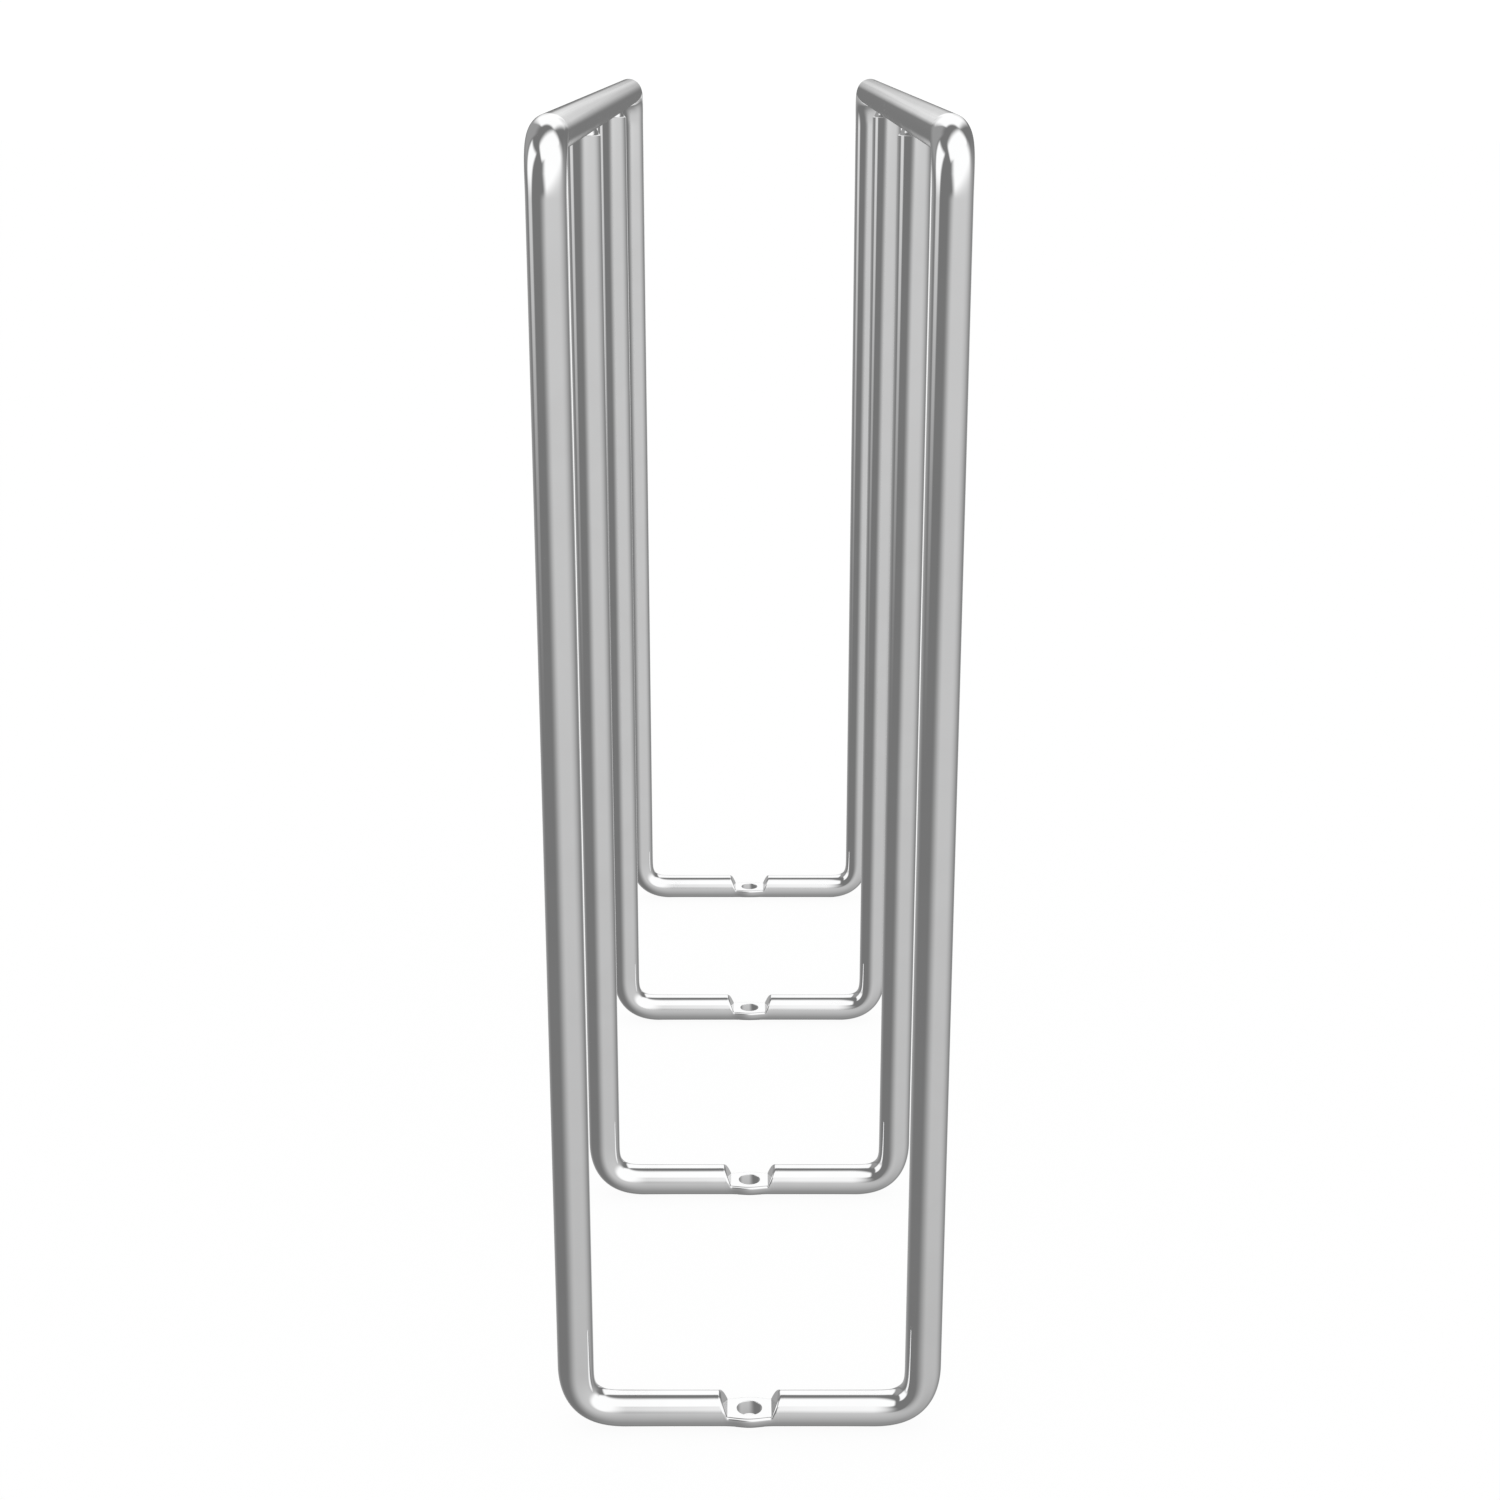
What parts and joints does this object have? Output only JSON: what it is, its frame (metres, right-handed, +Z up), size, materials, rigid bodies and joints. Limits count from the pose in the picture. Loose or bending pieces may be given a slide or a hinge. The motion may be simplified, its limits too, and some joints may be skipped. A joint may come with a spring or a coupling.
{
  "type": "hanging file rack",
  "caption": "Open rack of bent and welded chrome rod for files or magazines: U-shaped hoops under two top rails, with screw tabs in the base bars.",
  "frame": {"origin": "centre of the mounting plane that touches the underside of the base bars, midway between the front and rear hoops", "axes": "+X across the rack between the left and right uprights, +Y along the top rails from front to rear, +Z up from the mounting plane to the rails"},
  "size_m": [0.085, 0.3384, 0.2825],
  "materials": {
    "chrome_rod": "bright chrome plate on polished drawn rod",
    "chrome_weld": "bright chrome plate over a dressed weld"
  },
  "bodies": {
    "root": {"front_hoop": "chrome_rod", "front_middle_hoop": "chrome_rod", "rear_middle_hoop": "chrome_rod", "rear_hoop": "chrome_rod", "rail_weld_left": "chrome_weld", "rail_weld_right": "chrome_weld", "tip_weld_front_left": "chrome_weld", "tip_weld_front_right": "chrome_weld", "tip_weld_rear_left": "chrome_weld", "tip_weld_rear_right": "chrome_weld"}
  },
  "joints": []
}
